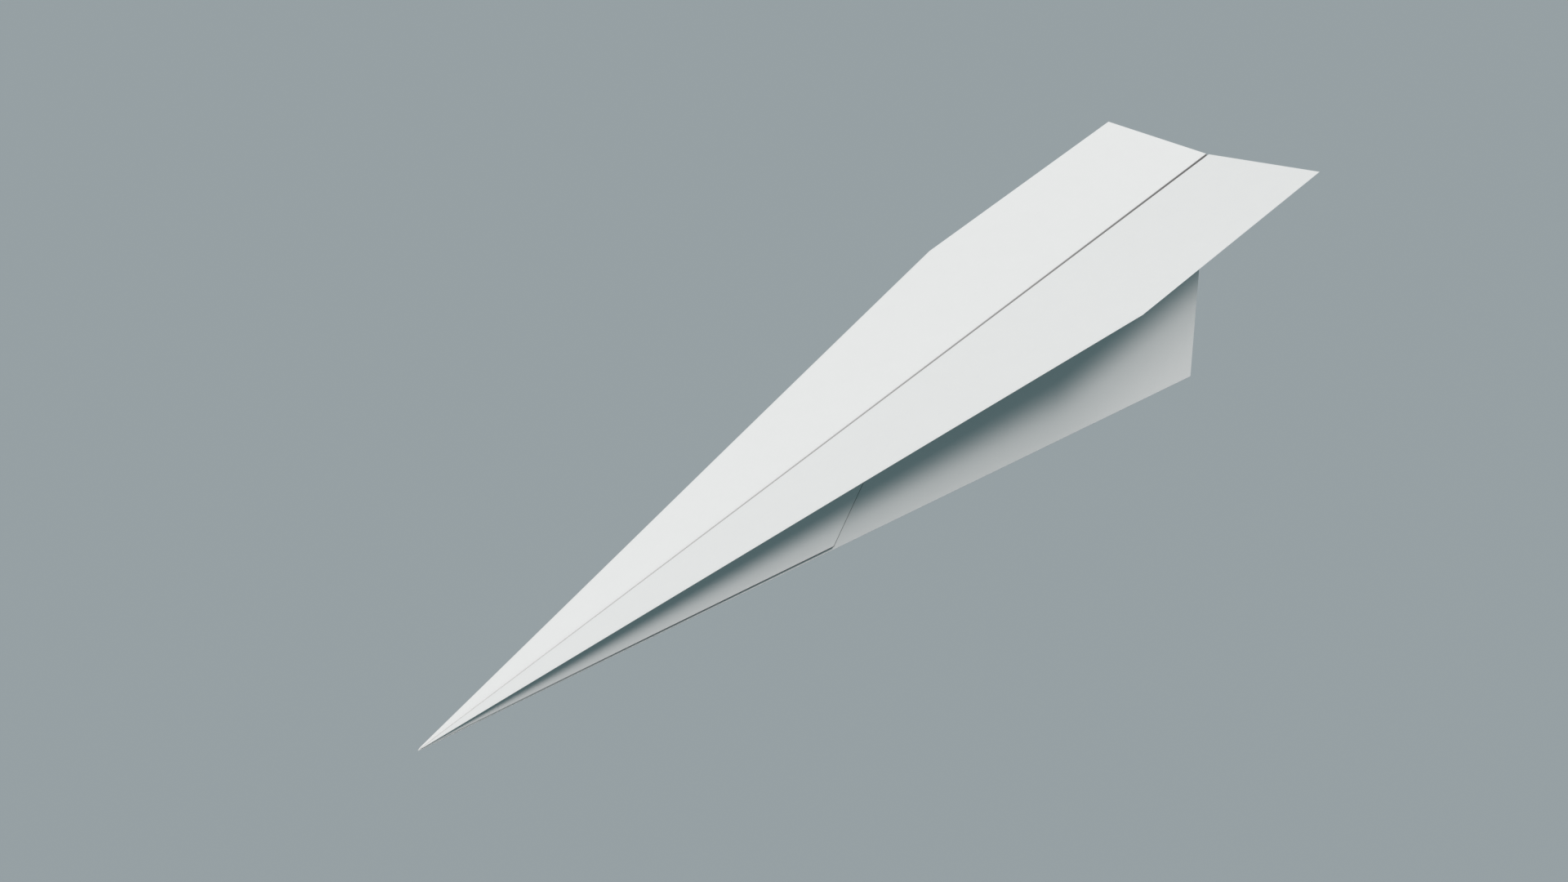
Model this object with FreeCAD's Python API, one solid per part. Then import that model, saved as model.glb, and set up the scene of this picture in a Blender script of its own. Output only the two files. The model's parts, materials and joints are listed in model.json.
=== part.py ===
import FreeCAD, Part
import os
from math import radians, degrees, sin, cos, tan, atan2, hypot

V = FreeCAD.Vector
os.makedirs("parts", exist_ok=True)

# Driving dimensions, mm and degrees.
# +X is the nose, +Y the left wing, +Z up; the keel lies along X on z = 0.
PAPER = 0.10             # thickness of the sheet
LAYERS = 4               # layers pressed together in front of the flap's slanted edge
KEEL_LENGTH = 297.0      # nose to tail along the centre fold
TAIL_HEIGHT = 67.7       # centre fold to wing crease at the tail
HALF_SPAN = 35.3         # middle plane to the wing's side edge
SHOULDER_AT = 221.7      # nose to the front of the side edge, along the wing crease
TIP_AFT = 1.9            # how far the wing's rear corner stands behind the crease's end
DIHEDRAL = 2.6           # each wing above square to its side panel
HALF_GAP = 0.05          # middle plane to the inner face of a side panel, at the keel
SPREAD = 0.2             # each side panel leans out by this
FRONT_HALF = 96.8        # half of the sheet's front edge
FLAP_CORNER_AT = 135.9   # nose to the flap's lower corner, along the keel
FLAP_CORNER_UP = 1.45    # flap's lower corner above the keel
FLAP_SLANT = 50.7        # flap's rear edge to the keel
FLAP_LIFT = 1.4          # flap stands off its side panel by this
BEAD = 0.15              # radius of the centre fold
CLEAR = 0.05             # running clearance beside a fold that turns
NOSE_TRIM = 2.5          # the folds are too thick to reach the geometric nose point
KEEL_TRIM = 0.5          # same, for the centre fold

# Derived from the sizes above.
STACK = LAYERS * PAPER
CREASE = atan2(TAIL_HEIGHT, KEEL_LENGTH)
CREASE_LENGTH = hypot(TAIL_HEIGHT, KEEL_LENGTH)
LEAD = atan2(HALF_SPAN, SHOULDER_AT)
AXIS_OUT = HALF_GAP + STACK
WING_IN = AXIS_OUT + STACK + CLEAR
LENGTH = (CREASE_LENGTH + TIP_AFT) * cos(CREASE) + HALF_SPAN * sin(radians(DIHEDRAL)) * -sin(CREASE)
NOSE_X = (LENGTH + KEEL_TRIM) / 2

# Directions of the left half. The right half is its mirror image.
AFT = V(-1, 0, 0)
OUT = V(0, cos(radians(SPREAD)), -sin(radians(SPREAD)))
RISE = V(0, sin(radians(SPREAD)), cos(radians(SPREAD)))
ALONG = AFT * cos(CREASE) + RISE * sin(CREASE)
DOWN = AFT * sin(CREASE) - RISE * cos(CREASE)
SPANWISE = OUT * cos(radians(DIHEDRAL)) - DOWN * sin(radians(DIHEDRAL))
LIFTED = DOWN * -cos(radians(DIHEDRAL)) - OUT * sin(radians(DIHEDRAL))
NOSE = V(NOSE_X, HALF_GAP, BEAD)


def side_point(along, up, layer):
    """A point in the side panel's plane, measured along and above the keel."""
    return NOSE + AFT * along + RISE * up + OUT * (layer * PAPER)


def hinge_point(along):
    """A point on the wing crease's turning line, in the hollow corner under the wing."""
    return NOSE + ALONG * along + DOWN * STACK + OUT * STACK


def wing_point(along, out, layer):
    """A point in the wing's plane, measured along and out from the crease."""
    return hinge_point(along) + SPANWISE * (out - AXIS_OUT) + LIFTED * (STACK - layer * PAPER)


def plate(corners, through):
    """A flat facet of the sheet, one paper thickness deep."""
    face = Part.Face(Part.makePolygon(corners + [corners[0]]))
    return face.extrude(through * PAPER)


def side_top(along):
    """Height of a side facet's top edge above the keel, just under the turning line."""
    return along * tan(CREASE) - STACK / cos(CREASE)


def side_front(clear):
    """Where the top edge of a side facet comes down to a given height above the keel."""
    return (clear + STACK / cos(CREASE)) / tan(CREASE)


def meet_top(along, up, slope, below):
    """Where a slanted edge through a point meets a line just below the side's top edge."""
    reach = (along * tan(CREASE) - (STACK + below) / cos(CREASE) - up) / (slope - tan(CREASE))
    return along + reach, up + reach * slope


def side_facet(corners, layer):
    return plate([side_point(a, u, layer) for a, u in corners], OUT)


def wing_facet(corners, layer):
    return plate([wing_point(a, o, layer) for a, o in corners], LIFTED * -1)


def lead_out(along):
    """Distance out to the leading edge's fold line at a place along the crease."""
    return along * tan(LEAD) - 2 * PAPER / cos(LEAD)


def lead_at(out):
    return (out + 2 * PAPER / cos(LEAD)) / tan(LEAD)


def fold_back_corner():
    """The corner layer's outer corner, on the leading edge: along and out from the crease."""
    total = FRONT_HALF / cos(CREASE + LEAD)
    return total * cos(LEAD), lead_out(total * cos(LEAD))


def on_crease(along, up):
    """Distance along the crease of a point given along and above the keel."""
    return along * cos(CREASE) + up * sin(CREASE)


def front_edge_on_crease():
    return FRONT_HALF / cos(CREASE)


def inner_edge_slope():
    """Slope of the inner layer's rear edge, from the flap's lower corner to the leading edge."""
    reach = FRONT_HALF
    rise = FRONT_HALF * tan(CREASE + LEAD)
    return (rise - FLAP_CORNER_UP) / (reach - FLAP_CORNER_AT)


def side_panel():
    low = BEAD / 3
    start = side_front(low)
    return side_facet([(start, low), (KEEL_LENGTH, low), (KEEL_LENGTH, side_top(KEEL_LENGTH))], 0)


def corner_layer_side():
    low = BEAD
    start = side_front(low)
    return side_facet([(start, low), (FRONT_HALF, low), (FRONT_HALF, side_top(FRONT_HALF))], 1)


def flap_low(along):
    """The flap's lower edge rises slowly from the nose to its rear corner."""
    return 4 * PAPER + (FLAP_CORNER_UP - 4 * PAPER) * along / FLAP_CORNER_AT


def flap_front(below):
    """Where the flap's lower edge meets a line just below the side's top edge."""
    rise = (FLAP_CORNER_UP - 4 * PAPER) / FLAP_CORNER_AT
    return (4 * PAPER + (STACK + below) / cos(CREASE)) / (tan(CREASE) - rise)


def lift_flap(shape):
    """Turn a flap facet out about the wing crease by its resting stand-off."""
    turned = shape.copy()
    turned.rotate(hinge_point(0), ALONG * -1, FLAP_LIFT)
    return turned


def flap_facet(slope, layer):
    below = 3 * CLEAR
    start = flap_front(below)
    top = meet_top(FLAP_CORNER_AT, FLAP_CORNER_UP, slope, below)
    corners = [(start, flap_low(start)), (FLAP_CORNER_AT, FLAP_CORNER_UP), top]
    return lift_flap(side_facet(corners, layer))


def inner_layer_side():
    return flap_facet(inner_edge_slope(), 2)


def flap_side():
    return flap_facet(tan(radians(FLAP_SLANT)), 3)


def half_round(centre, first, second, length_along, length):
    """A half-round fold: its flat side runs from centre - first to centre + first."""
    arc = Part.Arc(centre + first, centre + second, centre - first).toShape()
    flat = Part.makeLine(centre - first, centre + first)
    return Part.Face(Part.Wire([arc, flat])).extrude(length_along * length)


def flap_hem():
    start = flap_front(3 * CLEAR)
    first = side_point(start, flap_low(start), 3)
    last = side_point(FLAP_CORNER_AT, FLAP_CORNER_UP, 3)
    run = last - first
    length = run.Length
    run.normalize()
    under = run.cross(OUT)
    if under.z > 0:
        under = under * -1
    return lift_flap(half_round(first, OUT * PAPER, under * PAPER, run, length))


def wing_crease():
    """The crease's round back: a quarter round about the turning line, above the side panel."""
    centre = hinge_point(NOSE_TRIM)
    up = LIFTED * STACK
    inward = OUT * -STACK
    middle = up + inward
    middle.normalize()
    arc = Part.Arc(centre + up, centre + middle * STACK, centre + inward).toShape()
    sides = [Part.makeLine(centre + inward, centre), Part.makeLine(centre, centre + up)]
    return Part.Face(Part.Wire([arc] + sides)).extrude(ALONG * (CREASE_LENGTH - NOSE_TRIM))


def wing_panel():
    front = (lead_at(WING_IN), WING_IN)
    tail = (CREASE_LENGTH, WING_IN)
    tip = (CREASE_LENGTH + TIP_AFT, HALF_SPAN)
    shoulder = (SHOULDER_AT, HALF_SPAN)
    fold = (SHOULDER_AT, lead_out(SHOULDER_AT))
    return wing_facet([front, tail, tip, shoulder, fold], 0)


def corner_layer_wing():
    front = (lead_at(WING_IN), WING_IN)
    return wing_facet([front, (front_edge_on_crease(), WING_IN), fold_back_corner()], 1)


def inner_layer_wing():
    front = (lead_at(WING_IN), WING_IN)
    slope = inner_edge_slope()
    at, up = meet_top(FLAP_CORNER_AT, FLAP_CORNER_UP, slope, 0)
    return wing_facet([front, (on_crease(at, up), WING_IN), fold_back_corner()], 2)


def flap_wing():
    front = (lead_at(WING_IN), WING_IN)
    slope = tan(radians(FLAP_SLANT))
    at, up = meet_top(FLAP_CORNER_AT, FLAP_CORNER_UP, slope, 0)
    return wing_facet([front, (on_crease(at, up), WING_IN), (SHOULDER_AT, lead_out(SHOULDER_AT))], 3)


def leading_fold():
    first = wing_point(lead_at(WING_IN), WING_IN, LAYERS / 2)
    last = wing_point(SHOULDER_AT, lead_out(SHOULDER_AT), LAYERS / 2)
    run = last - first
    length = run.Length
    run.normalize()
    outward = LIFTED.cross(run)
    if outward.y < 0:
        outward = outward * -1
    return half_round(first, LIFTED * (2 * PAPER), outward * (2 * PAPER), run, length)


def keel_crease():
    """The rounded centre fold, lying on z = 0 from nose to tail."""
    centre = V(NOSE_X - KEEL_TRIM, 0, BEAD)
    return half_round(centre, V(0, BEAD, 0), V(0, 0, -BEAD), AFT, KEEL_LENGTH - KEEL_TRIM)


def mirrored(shape):
    return shape.mirror(V(0, 0, 0), V(0, 1, 0))


keel_crease().exportStep("parts/keel_crease.step")

for build in (side_panel, corner_layer_side, inner_layer_side, flap_side, flap_hem, wing_crease,
              wing_panel, corner_layer_wing, inner_layer_wing, flap_wing, leading_fold):
    left = build()
    left.exportStep("parts/left_" + build.__name__ + ".step")
    mirrored(left).exportStep("parts/right_" + build.__name__ + ".step")
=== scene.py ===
import json
import math
import bpy
import bmesh
from mathutils import Matrix, Vector
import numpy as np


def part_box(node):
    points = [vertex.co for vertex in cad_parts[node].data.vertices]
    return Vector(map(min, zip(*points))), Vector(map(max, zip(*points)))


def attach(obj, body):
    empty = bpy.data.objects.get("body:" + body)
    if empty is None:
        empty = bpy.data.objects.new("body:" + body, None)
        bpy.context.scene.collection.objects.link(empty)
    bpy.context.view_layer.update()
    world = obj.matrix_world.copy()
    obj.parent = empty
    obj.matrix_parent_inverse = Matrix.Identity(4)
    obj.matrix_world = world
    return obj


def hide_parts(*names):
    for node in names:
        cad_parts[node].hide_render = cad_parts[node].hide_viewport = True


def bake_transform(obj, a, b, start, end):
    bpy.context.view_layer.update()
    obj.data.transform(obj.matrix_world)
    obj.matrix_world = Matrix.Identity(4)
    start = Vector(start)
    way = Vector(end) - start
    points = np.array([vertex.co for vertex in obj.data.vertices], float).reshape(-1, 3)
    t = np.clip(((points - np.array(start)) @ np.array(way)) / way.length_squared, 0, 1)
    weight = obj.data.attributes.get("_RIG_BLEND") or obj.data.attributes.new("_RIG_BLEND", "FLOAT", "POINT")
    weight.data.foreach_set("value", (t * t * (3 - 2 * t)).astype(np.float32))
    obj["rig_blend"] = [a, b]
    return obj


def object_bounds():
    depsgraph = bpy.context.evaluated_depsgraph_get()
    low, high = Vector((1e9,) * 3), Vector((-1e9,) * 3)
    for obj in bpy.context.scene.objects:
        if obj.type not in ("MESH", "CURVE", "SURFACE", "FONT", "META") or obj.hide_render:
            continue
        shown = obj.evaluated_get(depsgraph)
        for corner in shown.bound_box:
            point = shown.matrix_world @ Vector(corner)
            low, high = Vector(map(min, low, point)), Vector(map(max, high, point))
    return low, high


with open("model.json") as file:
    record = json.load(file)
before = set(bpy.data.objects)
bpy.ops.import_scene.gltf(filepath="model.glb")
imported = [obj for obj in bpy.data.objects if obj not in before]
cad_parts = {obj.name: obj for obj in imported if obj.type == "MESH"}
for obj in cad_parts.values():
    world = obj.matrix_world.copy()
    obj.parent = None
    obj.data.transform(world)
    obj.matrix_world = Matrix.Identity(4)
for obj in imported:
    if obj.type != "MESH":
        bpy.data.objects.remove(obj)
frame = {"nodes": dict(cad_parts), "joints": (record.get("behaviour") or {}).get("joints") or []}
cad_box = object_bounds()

# ---------------------------------------------------------------------------------------------
# Paper. The whole airplane is one sheet of plain white office paper, 80 grams per square metre.
# It is uncoated: matt, faintly cloudy against the light, with short fibres lying every way.
# ---------------------------------------------------------------------------------------------
PAPER = 0.0001              # one thickness
PRESSED = 0.92              # share of a layer's place that the paper fills, so layers keep air between
RELIEF_DEPTH = 0.00004      # from the bottom of a fibre's trough to its top
MATT, MATT_VARIES = 0.86, 0.25      # roughness, and how much the fibres vary it
WORN_GREY, WORN_POLISH, WORN_RISE = 0.06, 0.18, 0.8     # what rubbing does to a fold
FIBRES_ALONG = ((0.3, 0.2, 0.5), (0.18, 1, 1))          # how each set of fibres is turned and drawn out
FIBRES_ACROSS = ((0.9, -0.4, 1.9), (0.22, 1, 1))


def paper_surface_group():
    group = bpy.data.node_groups.new("paper_surface", "ShaderNodeTree")
    face = group.interface
    for name, value in (("Cloud Size", 0.006), ("Fibre Size", 0.0005), ("Cloud Depth", 0.02),
                        ("Fibre Depth", 0.02), ("Fold Wear", 0.3)):
        face.new_socket(name, in_out="INPUT", socket_type="NodeSocketFloat").default_value = value
    white = face.new_socket("White", in_out="INPUT", socket_type="NodeSocketColor")
    white.default_value = (0.8, 0.8, 0.8, 1)
    face.new_socket("Color", in_out="OUTPUT", socket_type="NodeSocketColor")
    face.new_socket("Roughness", in_out="OUTPUT", socket_type="NodeSocketFloat")
    face.new_socket("Height", in_out="OUTPUT", socket_type="NodeSocketFloat")
    nodes, links = group.nodes, group.links
    inside, outside = nodes.new("NodeGroupInput"), nodes.new("NodeGroupOutput")
    place = nodes.new("ShaderNodeTexCoord").outputs["Object"]

    def maths(kind, a, b, clamp=False):
        node = nodes.new("ShaderNodeMath")
        node.operation, node.use_clamp = kind, clamp
        for socket, value in zip(node.inputs, (a, b)):
            if hasattr(value, "links"):
                links.new(value, socket)
            else:
                socket.default_value = value
        return node.outputs[0]

    def noise(size, detail, rough, drawn=None):
        where = place
        if drawn:
            mapping = nodes.new("ShaderNodeMapping")
            mapping.inputs["Rotation"].default_value, mapping.inputs["Scale"].default_value = drawn
            links.new(place, mapping.inputs["Vector"])
            where = mapping.outputs[0]
        node = nodes.new("ShaderNodeTexNoise")
        node.inputs["Detail"].default_value = detail
        node.inputs["Roughness"].default_value = rough
        links.new(maths("DIVIDE", 1.0, size), node.inputs["Scale"])
        links.new(where, node.inputs["Vector"])
        return node.outputs["Fac"]

    cloud = maths("SUBTRACT", noise(inside.outputs["Cloud Size"], 3, 0.55), 0.5)
    fine = inside.outputs["Fibre Size"]
    along = noise(fine, 2, 0.5, FIBRES_ALONG)
    across = noise(fine, 2, 0.5, FIBRES_ACROSS)
    grain = noise(maths("MULTIPLY", fine, 0.45), 2, 0.6)
    fibres = maths("MAXIMUM", along, across)
    height = maths("ADD", maths("MULTIPLY", fibres, 0.6), maths("MULTIPLY", grain, 0.4))
    mottle = maths("SUBTRACT", height, 0.55)

    fold = nodes.new("ShaderNodeAttribute")
    fold.attribute_name = "fold"
    worn = maths("MULTIPLY", maths("MULTIPLY", fold.outputs["Fac"], inside.outputs["Fold Wear"]),
                 maths("ADD", maths("MULTIPLY", grain, 1.2), 0.3), clamp=True)

    tone = maths("ADD", maths("MULTIPLY", cloud, inside.outputs["Cloud Depth"]),
                 maths("MULTIPLY", mottle, inside.outputs["Fibre Depth"]))
    shade = nodes.new("ShaderNodeVectorMath")
    shade.operation = "SCALE"
    links.new(inside.outputs["White"], shade.inputs[0])
    # the dim attribute is painted shade: it darkens the paper in the wing crease's gap, on the leading
    # edge's bend and along the flap's cut edge and hem
    dim = nodes.new("ShaderNodeAttribute")
    dim.attribute_name = "dim"
    bright = maths("ADD", maths("SUBTRACT", tone, maths("MULTIPLY", worn, WORN_GREY)), 1.0)
    links.new(maths("MULTIPLY", bright, maths("SUBTRACT", 1.0, dim.outputs["Fac"])),
              shade.inputs["Scale"])
    links.new(shade.outputs[0], outside.inputs["Color"])
    rough = maths("ADD", maths("MULTIPLY", mottle, MATT_VARIES), MATT)
    links.new(maths("SUBTRACT", rough, maths("MULTIPLY", worn, WORN_POLISH), clamp=True),
              outside.inputs["Roughness"])
    links.new(maths("ADD", height, maths("MULTIPLY", worn, WORN_RISE)), outside.inputs["Height"])
    return group


paper_surface = paper_surface_group()


def paper_material(name, white, cloud_depth, fibre_depth, fold_wear, relief):
    material = bpy.data.materials.new(name)
    material.use_nodes = True
    nodes, links = material.node_tree.nodes, material.node_tree.links
    shader = nodes["Principled BSDF"]
    shader.inputs["Specular IOR Level"].default_value = 0.25
    surface = nodes.new("ShaderNodeGroup")
    surface.node_tree = paper_surface
    surface.inputs["White"].default_value = (*white, 1)
    surface.inputs["Cloud Depth"].default_value = cloud_depth
    surface.inputs["Fibre Depth"].default_value = fibre_depth
    surface.inputs["Fold Wear"].default_value = fold_wear
    bump = nodes.new("ShaderNodeBump")
    bump.inputs["Strength"].default_value = relief
    bump.inputs["Distance"].default_value = RELIEF_DEPTH
    links.new(surface.outputs["Color"], shader.inputs["Base Color"])
    links.new(surface.outputs["Roughness"], shader.inputs["Roughness"])
    links.new(surface.outputs["Height"], bump.inputs["Height"])
    links.new(bump.outputs["Normal"], shader.inputs["Normal"])
    return material


face_paper = paper_material("white_office_paper", (0.86, 0.868, 0.862), 0.02, 0.03, 0.3, 0.35)
# a darker copy of the same paper: painted shade for layers that lie between the outer ones
inner_paper_painted_shade = paper_material("inner_layer_paper_painted_shade", (0.83, 0.838, 0.834), 0.02, 0.03, 0.2, 0.35)
fold_paper = paper_material("pressed_fold_paper", (0.84, 0.847, 0.842), 0.02, 0.04, 0.8, 0.5)


# ---------------------------------------------------------------------------------------------
# Body and wing sheets. Each half of the sheet is laid out flat, its front edge turned over at the
# leading edge to lie under the wing, and the wing is then creased outward from the body. Side
# panel, wing and the layer under the wing stay one unbroken piece of paper.
# ---------------------------------------------------------------------------------------------
LAYERS = 4                  # thicknesses pressed together ahead of the flap's slanted edge
STACK = LAYERS * PAPER
FOLD_STEPS = 8              # facets round each rounded fold
CRISP = 0.00001             # width of the border of a line of painted shade
WELD, CUT_SNAP = 1e-7, 1e-8     # corners this close are one corner, and a cut this close uses it
WEAR_NEAR, WEAR_FAR = 0.0004, 0.0012     # wear fades out over this far beside a fold
NOSE_BEYOND = 0.0005        # the geometric nose point, ahead of the end of the centre fold
HALF_GAP = 0.00005          # middle plane to the inner face of a side panel
SPREAD = math.radians(0.2)  # lean of a side panel
DIHEDRAL = math.radians(2.6)        # rise of a wing from level
SHOULDER_AT = 0.2217        # nose to shoulder, along the wing crease
TIP_AFT = 0.0019            # the wing's rear corner stands this far behind the end of its crease
HALF_SPAN = 0.0353
FLAP_CORNER = Vector((0.1359, 0.00145))     # behind the nose and above the keel
FLAP_SLANT = math.radians(50.7)     # the flap's rear edge, up from the keel
NOSE_BLUNT = 0.0009         # the very point of the nose is worn flat
WING_FRONT = 0.0012         # the wing begins this far along its leading edge

keel_low, keel_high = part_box("keel_crease")
nose_x = keel_high.x + NOSE_BEYOND
keel_length = nose_x - keel_low.x
fold_joint = next(j for j in frame["joints"] if j["name"] == "left_wing_fold")
spread_joint = next(j for j in frame["joints"] if j["name"] == "left_spread")
keel_axis_z = spread_joint["pos_m"][2]

aft = Vector((-1, 0, 0))
outward = Vector((0, math.cos(SPREAD), -math.sin(SPREAD)))
upward = Vector((0, math.sin(SPREAD), math.cos(SPREAD)))
crease_run = -Vector(fold_joint["axis"]).normalized()
CREASE = math.atan2(crease_run.dot(upward), crease_run.dot(aft))
crease_dir = Vector((math.cos(CREASE), math.sin(CREASE)))
crease_side = Vector((-math.sin(CREASE), math.cos(CREASE)))
down = aft * math.sin(CREASE) - upward * math.cos(CREASE)
spanwise = outward * math.cos(DIHEDRAL) - down * math.sin(DIHEDRAL)
lifted = -down * math.cos(DIHEDRAL) - outward * math.sin(DIHEDRAL)
nose = Vector((nose_x, HALF_GAP, keel_axis_z))
hinge = nose + down * STACK + outward * STACK

# Flat layout: X runs aft along the keel, Y up from it and Z out of the side panel, nose at the origin.
standing = Matrix((aft, upward, outward)).transposed().to_4x4()
standing.translation = nose


def on_sheet(along, out):
    """A flat-layout point given along and out from the wing crease."""
    return crease_dir * along + crease_side * out


def mirror_over(point, origin, run, gap):
    """A flat-layout point carried over a fold line to where it lies before that fold is made."""
    side = Vector((-run.y, run.x))
    inside = (point - origin).dot(side)
    return point - side * (2 * inside - gap)


def cut(bm, origin, normal):
    """A score line right across the sheet."""
    bmesh.ops.bisect_plane(bm, geom=bm.verts[:] + bm.edges[:] + bm.faces[:], dist=CUT_SNAP,
                           plane_co=(*origin, 0), plane_no=(*normal, 0))


def fold_over(bm, origin, run, axis_height, layer_height, angle):
    """Bend all that lies left of a line over a round fold about an axis above or below the layer."""
    side = Vector((-run.y, run.x))
    radius = abs(axis_height - layer_height)
    turn = 1 if axis_height > layer_height else -1
    worn = bm.verts.layers.float["fold"]
    for step in range(FOLD_STEPS + 1):
        cut(bm, origin + side * (radius * angle * step / FOLD_STEPS), side)
    for away in (-WEAR_FAR, -WEAR_NEAR, radius * angle + WEAR_NEAR, radius * angle + WEAR_FAR):
        cut(bm, origin + side * away, side)
    for v in bm.verts:
        past = (v.co.xy - origin).dot(side)
        beyond = max(-past, past - radius * angle)
        v[worn] = max(v[worn], 1 - max(0, beyond) / WEAR_FAR)
        if past > 0:
            bend = min(past / radius, angle)
            rest = past - bend * radius
            arm = turn * (axis_height - v.co.z)
            foot = v.co.xy - side * past
            moved = foot + side * (arm * math.sin(bend) + rest * math.cos(bend))
            v.co.z = axis_height - turn * (arm * math.cos(bend) - rest * math.sin(bend))
            v.co.x, v.co.y = moved


def shade_band(bm, origin, side, near, far, amount):
    """Paint shade onto the sheet between two distances from a line, with crisp borders; amount may vary by
    place.
    """
    dim = bm.verts.layers.float["dim"]
    for place in (near - CRISP, near, far, far + CRISP):
        cut(bm, origin + side * place, side)
    for v in bm.verts:
        past = (v.co.xy - origin).dot(side)
        if near - CRISP / 2 < past < far + CRISP / 2:
            v[dim] = max(v[dim], amount(v.co))


def sheet_face(bm, corners, height):
    """A flat piece of paper, from its corners in the flat layout."""
    bm.faces.new([bm.verts.new((*corner, height)) for corner in corners])


def finish_sheet(bm, name, hand, material):
    """Stand the folded sheet on its side of the keel and give the paper its thickness."""
    if hand < 0:
        bmesh.ops.scale(bm, vec=(1, -1, 1), verts=bm.verts)
        bmesh.ops.reverse_faces(bm, faces=bm.faces)
    mesh = bpy.data.meshes.new(name)
    bm.to_mesh(mesh)
    bm.free()
    mesh.materials.append(material)
    piece = bpy.data.objects.new(name, mesh)
    bpy.context.scene.collection.objects.link(piece)
    solid = piece.modifiers.new("thickness", "SOLIDIFY")
    solid.thickness = PAPER * PRESSED
    solid.offset = 0
    solid.use_even_offset = True
    for polygon in mesh.polygons:
        polygon.use_smooth = False
    return piece


def slope_point(start, slope, origin, run):
    """Where a slanted edge through start meets a fold line."""
    heading = Vector((math.cos(slope), math.sin(slope)))
    side = Vector((-run.y, run.x))
    return start + heading * ((origin - start).dot(side) / heading.dot(side))


def wing_width(along):
    """Crease to side edge: the half span less the side panel's lean at that place."""
    return HALF_SPAN - HALF_GAP - along * math.sin(CREASE) * math.sin(SPREAD)


LEAD = math.atan2(wing_width(SHOULDER_AT), SHOULDER_AT)     # leading edge to wing crease
lead_dir = Vector((math.cos(CREASE + LEAD), math.sin(CREASE + LEAD)))
lead_side = Vector((-lead_dir.y, lead_dir.x))
crease_length = keel_length / math.cos(CREASE)
CREASE_RADIUS = 1.2 * PAPER         # middle of the outer sheet round the pressed wing crease
LEAD_RADIUS = 0.5 * PAPER           # the same round the leading edge, which is pressed flat
LEAD_WEDGE = 2.4 * PAPER            # the layer under the wing reaches its full depth this far in
UNDER_FROM = 3 * PAPER              # the layer under the wing begins this far out from the crease
NOSE_PRESSED = 0.018                # the layers lie tighter over this length at the nose
CREASE_PAINTED_SHADE, CREASE_PAINTED_SHADE_NOSE = 0.73, 0.15     # painted shade in the gap between the wings, at the tail and at the nose
CREASE_PAINTED_SHADE_DEEP = 0.0008            # depth of the painted shade line inside the gap
CREASE_PAINTED_SHADE_REACH = 0.85             # how much of the crease's bend it covers
CREASE_PAINTED_SHADE_CURVE = 1.5              # how fast it fades towards the nose
LEAD_PAINTED_SHADE = 0.18                     # painted shade on the leading edge's rounded fold, which keeps its lit bend from showing as a bright line
fold_height = CREASE_RADIUS + PAPER / 2
fold_angle = math.pi / 2 - DIHEDRAL
crease_origin = crease_side * -fold_height
turn_gain = 2 * fold_height - CREASE_RADIUS * fold_angle
lead_origin = lead_side * (-LEAD_RADIUS - PAPER / 2) - crease_side * turn_gain
wing_in = STACK * 2 + HALF_GAP * 2  # the pressed layers end, and the open wing starts, this far out
KEEL_CUTS, WING_CUTS = 30, 5        # lengths along the keel and strips across the wing
BLEND_REACH = 0.7                   # the bend between body and wing, as a share of the stack, each way
TWIST_FROM, TWIST_LENGTH = 0.12, 0.19        # the wing is twisted from here to its tail
TWIST_DOWN, TWIST_TURN = 0.55, 0.54          # degrees it sinks over the first share of that length
TWIST_UP = 0.9                               # degrees it rises again over the rest


def wing_lift(along, out):
    """The wing's slight twist: its rear corner stands higher than its shoulder."""
    share = (along - TWIST_FROM) / TWIST_LENGTH
    if share <= 0:
        return 0
    sunk = TWIST_DOWN * min(share, TWIST_TURN) / TWIST_TURN
    risen = TWIST_UP * max(0, share - TWIST_TURN) / (1 - TWIST_TURN)
    return out * math.radians(risen - sunk)


def crease_shade(point):
    """Painted shade in the gap between the wings: a grey line that fades away towards the nose."""
    share = min(1, point.x / keel_length) ** CREASE_PAINTED_SHADE_CURVE
    return CREASE_PAINTED_SHADE_NOSE + (CREASE_PAINTED_SHADE - CREASE_PAINTED_SHADE_NOSE) * share


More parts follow.
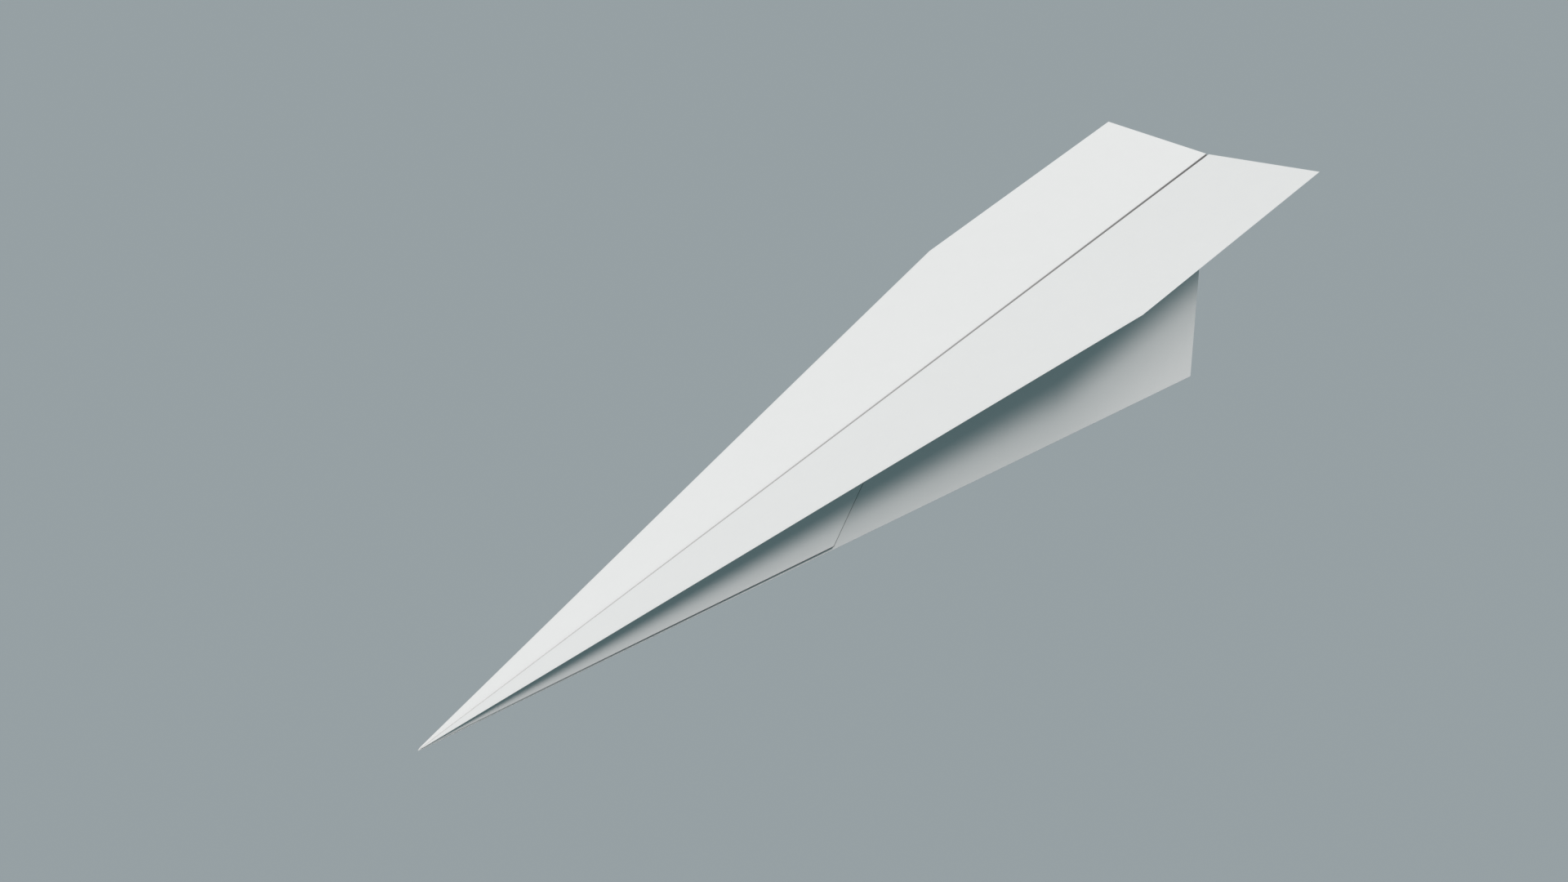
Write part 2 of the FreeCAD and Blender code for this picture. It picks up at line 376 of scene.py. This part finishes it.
def body_and_wing(side_name, hand):
    """Side panel, wing and the layer under the wing; hand is 1 on the left and -1 on the right."""
    bm = bmesh.new()
    bm.verts.layers.float.new("fold")
    bm.verts.layers.float.new("dim")
    bend_length = math.pi * LEAD_RADIUS
    base_height = PAPER / 2
    lead_inset = (LEAD_RADIUS + PAPER / 2) / math.cos(LEAD)
    shoulder = on_sheet(SHOULDER_AT, SHOULDER_AT * math.tan(LEAD) - lead_inset - turn_gain)
    side_edge = on_sheet(SHOULDER_AT, wing_width(SHOULDER_AT) - turn_gain)
    tip = on_sheet(crease_length + TIP_AFT, wing_width(crease_length) - turn_gain)
    lead_front = lead_origin + lead_dir * WING_FRONT
    low_front = Vector((NOSE_BLUNT, 0))
    under_front = lead_origin + lead_dir * (UNDER_FROM / math.sin(LEAD))
    low_rear = Vector((keel_length, 0))
    crease_rear = on_sheet(crease_length, 0)
    base = [low_front, low_rear, crease_rear, tip, side_edge, shoulder, under_front, lead_front]
    sheet_face(bm, base, base_height)
    flap_root = slope_point(FLAP_CORNER, FLAP_SLANT, Vector((0, 0)), crease_dir) + on_sheet(0, wing_in)
    flap_root_over = mirror_over(flap_root, lead_origin, lead_dir, bend_length)
    shoulder_over = shoulder + lead_side * bend_length
    front_over = under_front + lead_side * bend_length
    sheet_face(bm, [under_front, shoulder, shoulder_over, flap_root_over, front_over], base_height)
    bmesh.ops.remove_doubles(bm, verts=bm.verts, dist=WELD)
    for step in range(1, KEEL_CUTS):
        cut(bm, Vector((keel_length * step / KEEL_CUTS, 0)), Vector((1, 0)))
    for step in range(1, WING_CUTS):
        cut(bm, on_sheet(0, HALF_SPAN * step / WING_CUTS), crease_side)
    cut(bm, lead_origin + lead_side * (bend_length + LEAD_WEDGE), lead_side)
    area = sum(f.calc_area() for f in bm.faces)
    crease_band = CREASE_RADIUS * fold_angle * CREASE_PAINTED_SHADE_REACH
    # painted shade: a grey band on the leading edge's bend, and a grey line in the wing crease's gap
    shade_band(bm, lead_origin, lead_side, 0, bend_length, lambda point: LEAD_PAINTED_SHADE)
    shade_band(bm, crease_origin, crease_side, -CREASE_PAINTED_SHADE_DEEP, crease_band, crease_shade)
    fold_over(bm, lead_origin, lead_dir, base_height + LEAD_RADIUS, base_height, math.pi)
    for v in bm.verts:
        inward = (lead_origin - v.co.xy).dot(lead_side)
        turned_under = v.co.z > base_height + LEAD_RADIUS * 1.5
        if turned_under:
            apart = min(1, max(0, v.co.x - under_front.x) / NOSE_PRESSED)
            v.co.z += 2 * PAPER * apart * min(1, max(0, inward) / LEAD_WEDGE)
    fold_over(bm, crease_origin, crease_dir, fold_height, base_height, fold_angle)
    bmesh.ops.transform(bm, matrix=standing, verts=bm.verts)
    for v in bm.verts:
        arm = v.co - hinge
        out = arm.dot(spanwise)
        if out > wing_in:
            v.co += lifted * wing_lift(arm.dot(crease_run), out)
    bmesh.ops.recalc_face_normals(bm, faces=bm.faces)
    piece = finish_sheet(bm, side_name + "_body_and_wing_sheet", hand, face_paper)
    flip = Vector((1, hand, 1))
    across = (outward - down).normalized() * BLEND_REACH * STACK
    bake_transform(piece, side_name + "_side", side_name + "_wing",
             start=(hinge - across) * flip, end=(hinge + across) * flip)
    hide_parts(*[side_name + n for n in ("_side_panel", "_wing_crease", "_wing_panel",
                                                 "_leading_fold", "_flap_wing")])


body_and_wing("left", 1)
body_and_wing("right", -1)


# ---------------------------------------------------------------------------------------------
# Nose flaps. The second fold's outer layer hangs down each side of the body; its lower edge is the
# first fold, the hem, and the inner layer runs back up behind it. It stands a little off the body.
# ---------------------------------------------------------------------------------------------
FLAP_LIFT = math.radians(1.4)
FLAP_LOW = 4 * PAPER        # hem above the keel at the nose
EDGE_LINE, EDGE_PAINTED_SHADE = 0.00022, 0.72      # painted shade: a thin grey line along the flap's slanted cut edge
HEM_PAINTED_SHADE, HEM_PAINTED_SHADE_FULL = 0.85, 0.07      # painted shade line along its hem too, weaker near the nose
HEM_LINE = 0.00014                      # how far the hem's painted shade line reaches up the flap
HEM_TAPER = 0.006           # the hem narrows to nothing over this length at the nose
INNER_REACH = 0.0968        # the folded-in corner ends this far behind the nose
FLAP_TOP = STACK + PAPER    # the flap begins this far below the wing crease
FLAP_CUTS = 16              # lengths along the flap


def nose_flap(side_name, hand):
    """The flap's outer layer, its hem and the layer folded up behind it."""
    bm = bmesh.new()
    bm.verts.layers.float.new("fold")
    bm.verts.layers.float.new("dim")
    outer_height, inner_height = 3.5 * PAPER, 2.5 * PAPER
    top = -crease_side * FLAP_TOP
    rise = (FLAP_CORNER.y - FLAP_LOW) / FLAP_CORNER.x
    hem_start = Vector((0, FLAP_LOW))
    hem_dir = Vector((1, rise)).normalized()
    front = slope_point(top, CREASE, hem_start, hem_dir)
    rear_top = slope_point(FLAP_CORNER, FLAP_SLANT, top, crease_dir)
    reach = Vector((INNER_REACH, INNER_REACH * math.tan(CREASE + LEAD)))
    inner_slope = math.atan2(reach.y - FLAP_CORNER.y, reach.x - FLAP_CORNER.x)
    inner_top = slope_point(FLAP_CORNER, inner_slope, top, crease_dir)
    hem_side = Vector((hem_dir.y, -hem_dir.x))
    hem_length = math.pi * PAPER / 2
    sheet_face(bm, [front, FLAP_CORNER, rear_top], outer_height)
    over = mirror_over(inner_top, hem_start, hem_dir, 0)
    low = hem_side * hem_length
    hem_front = front + low + hem_dir * HEM_TAPER
    sheet_face(bm, [front, FLAP_CORNER, FLAP_CORNER + low, over + low, hem_front], outer_height)
    bmesh.ops.remove_doubles(bm, verts=bm.verts, dist=WELD)
    for step in range(1, FLAP_CUTS):
        cut(bm, Vector((rear_top.x * step / FLAP_CUTS, 0)), Vector((1, 0)))
    edge_side = Vector((math.sin(FLAP_SLANT), -math.cos(FLAP_SLANT)))
    area = sum(f.calc_area() for f in bm.faces)
    # painted shade line along the flap's slanted cut edge, ending at the hem
    shade_band(bm, FLAP_CORNER, edge_side, -EDGE_LINE, 0,
               lambda point: EDGE_PAINTED_SHADE if (point.xy - hem_start).dot(hem_side) < CRISP else 0)
    # painted shade line along the flap's hem
    shade_band(bm, hem_start, hem_side, -HEM_LINE, hem_length,
               lambda point: HEM_PAINTED_SHADE * min(1, point.x / HEM_PAINTED_SHADE_FULL))
    fold_over(bm, hem_start, -hem_dir, (outer_height + inner_height) / 2, outer_height, math.pi)
    for v in bm.verts:
        v.co.z -= PAPER * max(0, 1 - (v.co.x - front.x) / NOSE_PRESSED)
    bmesh.ops.transform(bm, matrix=standing, verts=bm.verts)
    lift = Matrix.Rotation(FLAP_LIFT, 3, -crease_run)
    bmesh.ops.rotate(bm, cent=hinge, matrix=lift, verts=bm.verts)
    bmesh.ops.recalc_face_normals(bm, faces=bm.faces)
    piece = finish_sheet(bm, side_name + "_nose_flap_sheet", hand, face_paper)
    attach(piece, side_name + "_flap")
    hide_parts(*[side_name + n for n in ("_flap_side", "_inner_layer_side", "_flap_hem")])


nose_flap("left", 1)
nose_flap("right", -1)


# ---------------------------------------------------------------------------------------------
# Corner and inner layers. The first fold's corner lies flat between the outer layers, one thickness
# deep, under each wing and on each side panel; only its edges can be seen between them.
# ---------------------------------------------------------------------------------------------
for side_name in ("left", "right"):
    # these layers take the darker copy of the paper, painted shade for where they lie between outer layers
    for layer in ("_corner_layer_side", "_corner_layer_wing", "_inner_layer_wing"):
        node = frame["nodes"][side_name + layer]
        node.data.materials.clear()
        node.data.materials.append(inner_paper_painted_shade)


# ---------------------------------------------------------------------------------------------
# Centre fold. The sheet's first crease, rounded by the paper's own thickness, runs from nose to
# tail along the bottom and joins the two side panels.
# ---------------------------------------------------------------------------------------------
bm = bmesh.new()
bm.verts.layers.float.new("fold")
mid_radius = HALF_GAP + PAPER / 2
OPENING = math.radians(20)  # arc left free beside each side panel, which turns through it as it opens
FOLD_TRIM = 0.0015          # the round of the fold is pressed out at the nose
ROUND_STEPS = 10
rim_y, rim_z = mid_radius * math.cos(OPENING), keel_axis_z - mid_radius * math.sin(OPENING)
rim_front = bm.verts.new((keel_high.x - FOLD_TRIM, rim_y, rim_z))
rim_rear = bm.verts.new((keel_low.x, rim_y, rim_z))
edge = bm.edges.new((rim_front, rim_rear))
bmesh.ops.spin(bm, geom=[edge, rim_front, rim_rear], cent=(0, 0, keel_axis_z), axis=(1, 0, 0),
               angle=2 * OPENING - math.pi, steps=ROUND_STEPS)
worn = bm.verts.layers.float["fold"]
for v in bm.verts:
    v[worn] = 1
bmesh.ops.recalc_face_normals(bm, faces=bm.faces)
keel_fold = finish_sheet(bm, "centre_fold", 1, fold_paper)
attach(keel_fold, "keel")
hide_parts("keel_crease")


# ---------------------------------------------------------------------------------------------
# Stage. A plain pale floor well below the airplane, which glides level above it, two broad soft
# lamps in front and to its left, dim cool light all round, and the camera ahead, left and above.
# ---------------------------------------------------------------------------------------------
FLOOR_SIZE, FLOOR_DEPTH = 30, 1
FLOOR_COLOUR = (0.341, 0.39, 0.409, 1)
BACKDROP = (0.305, 0.347, 0.361, 1)
ROOM_LOW, ROOM_HIGH = (0.080, 0.132, 0.143, 1), (0.46, 0.51, 0.52, 1)   # level with the eye and overhead
ROOM_FADE = 2
bm = bmesh.new()
bmesh.ops.create_grid(bm, x_segments=1, y_segments=1, size=FLOOR_SIZE)
bmesh.ops.translate(bm, vec=(0, 0, -FLOOR_DEPTH), verts=bm.verts)
floor_mesh = bpy.data.meshes.new("floor")
bm.to_mesh(floor_mesh)
bm.free()
floor = bpy.data.objects.new("floor", floor_mesh)
bpy.context.scene.collection.objects.link(floor)
floor_material = bpy.data.materials.new("pale_floor")
floor_material.use_nodes = True
floor_shader = floor_material.node_tree.nodes["Principled BSDF"]
floor_shader.inputs["Base Color"].default_value = FLOOR_COLOUR
floor_shader.inputs["Roughness"].default_value = 0.9
floor_mesh.materials.append(floor_material)
floor.visible_diffuse = False
floor.visible_glossy = False

scene = bpy.context.scene
scene.view_settings.view_transform = "Standard"
world = bpy.data.worlds.new("studio")
world.use_nodes = True
nodes, links = world.node_tree.nodes, world.node_tree.links
looking = nodes.new("ShaderNodeSeparateXYZ")
links.new(nodes.new("ShaderNodeTexCoord").outputs["Generated"], looking.inputs[0])
above = nodes.new("ShaderNodeMath")
above.operation, above.use_clamp = "MAXIMUM", True
above.inputs[1].default_value = 0
links.new(looking.outputs["Z"], above.inputs[0])
overhead = nodes.new("ShaderNodeMath")
overhead.operation = "POWER"
overhead.inputs[1].default_value = ROOM_FADE
links.new(above.outputs[0], overhead.inputs[0])
room = nodes.new("ShaderNodeMix")
room.data_type = "RGBA"
room.inputs["A"].default_value = ROOM_LOW
room.inputs["B"].default_value = ROOM_HIGH
links.new(overhead.outputs[0], room.inputs["Factor"])
backdrop = nodes.new("ShaderNodeMix")
backdrop.data_type = "RGBA"
backdrop.inputs["B"].default_value = BACKDROP
links.new(nodes.new("ShaderNodeLightPath").outputs["Is Camera Ray"], backdrop.inputs["Factor"])
links.new(room.outputs["Result"], backdrop.inputs["A"])
links.new(backdrop.outputs["Result"], nodes["Background"].inputs["Color"])
scene.world = world

middle = (cad_box[0] + cad_box[1]) / 2
LAMP_COLOUR = (0.965, 0.898, 0.885)
LAMP_FORWARD = 0.30                 # how far ahead of square both lamps stand
LAMPS = (("key_lamp", 46.8, 9, 1.21), ("broad_lamp", 53, 16, 1.49))     # degrees high and wide, strength
lamp_level = math.sqrt(1 - LAMP_FORWARD ** 2)
for lamp_name, height, width, strength in LAMPS:
    lamp_data = bpy.data.lights.new(lamp_name, "SUN")
    lamp_data.angle = math.radians(width)
    lamp_data.energy = strength
    lamp_data.color = LAMP_COLOUR
    lamp = bpy.data.objects.new(lamp_name, lamp_data)
    scene.collection.objects.link(lamp)
    rise = math.radians(height)
    towards = Vector((LAMP_FORWARD, lamp_level * math.cos(rise), lamp_level * math.sin(rise)))
    lamp.location = middle + towards
    lamp.rotation_euler = (-towards).to_track_quat("-Z", "Y").to_euler()

SENSOR = 36
FRAME_WIDTH, FRAME_AWAY = 1920, 3143        # the frame's width and its distance from the eye, in one unit
eye = Vector((nose_x + 0.3053, 0.37585, 0.27965))
camera_data = bpy.data.cameras.new("camera")
camera_data.sensor_width = SENSOR
camera_data.lens = SENSOR * FRAME_AWAY / FRAME_WIDTH
camera_data.clip_start, camera_data.clip_end = 0.01, 100
camera = bpy.data.objects.new("camera", camera_data)
scene.collection.objects.link(camera)
sight = Vector((-0.6866, -0.6098, -0.3959)).normalized()
head_up = Vector((-0.2886, -0.2713, 0.9182))
head_up = (head_up - sight * head_up.dot(sight)).normalized()
stance = Matrix((sight.cross(head_up), head_up, -sight)).transposed()
camera.matrix_world = Matrix.Translation(eye) @ stance.to_4x4()
scene.camera = camera
